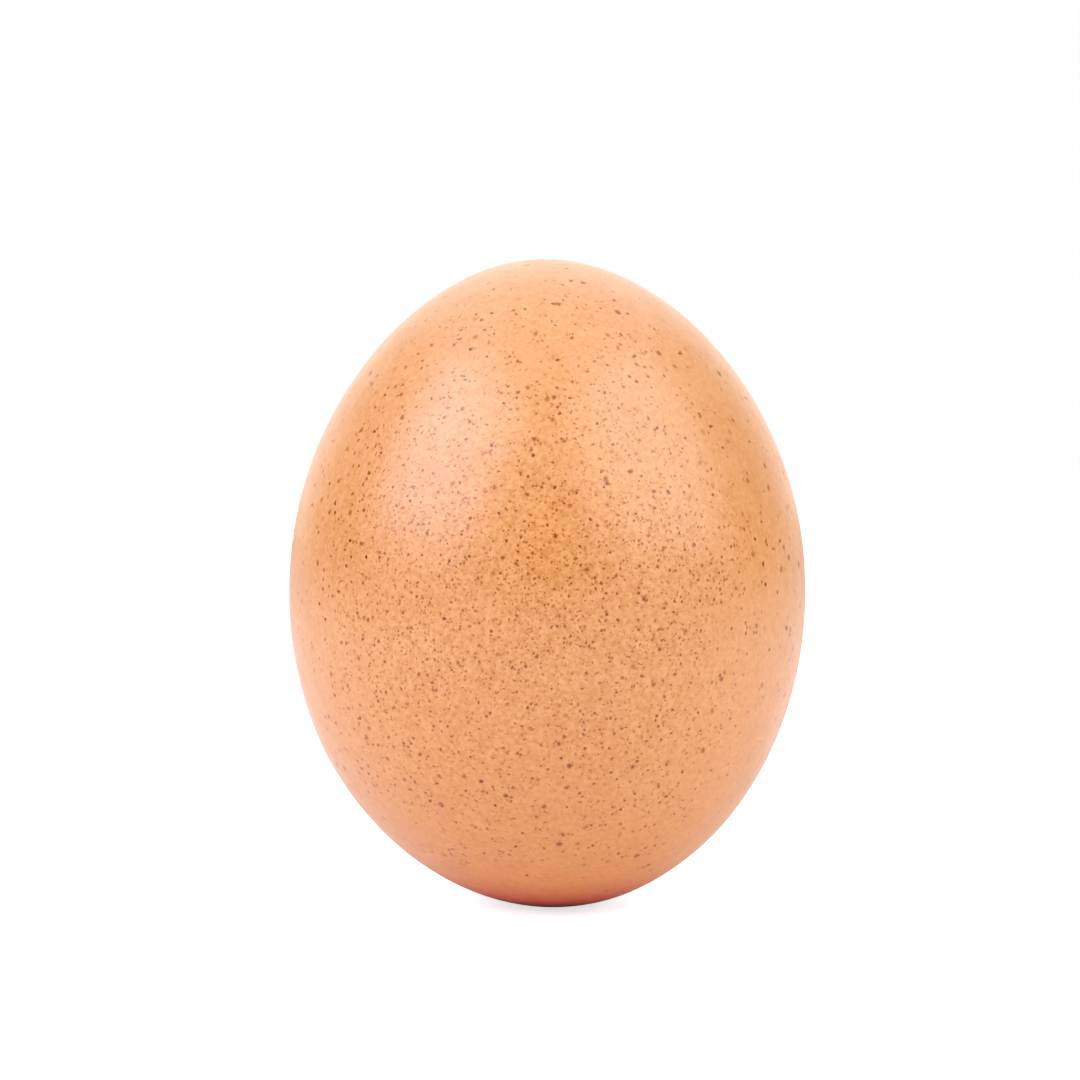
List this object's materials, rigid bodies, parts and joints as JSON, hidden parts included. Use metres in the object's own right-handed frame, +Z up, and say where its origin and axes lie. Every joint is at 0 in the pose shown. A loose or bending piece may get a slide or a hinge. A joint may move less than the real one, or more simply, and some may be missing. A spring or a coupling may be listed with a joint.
{
  "type": "egg",
  "caption": "Whole brown speckled hen's egg, standing upright on a small flat spot under its blunt end; food or still-life prop.",
  "frame": {"origin": "centre of the flat spot under the blunt end, on the surface that the egg stands on", "axes": "+Z up along the egg's long axis, from the blunt end to the slightly narrower tip; the egg is round about Z, so +X and +Y are free choices"},
  "size_m": [0.0446, 0.0446, 0.056],
  "materials": {
    "eggshell": "satin"
  },
  "bodies": {
    "root": {"egg": "eggshell"}
  },
  "joints": []
}
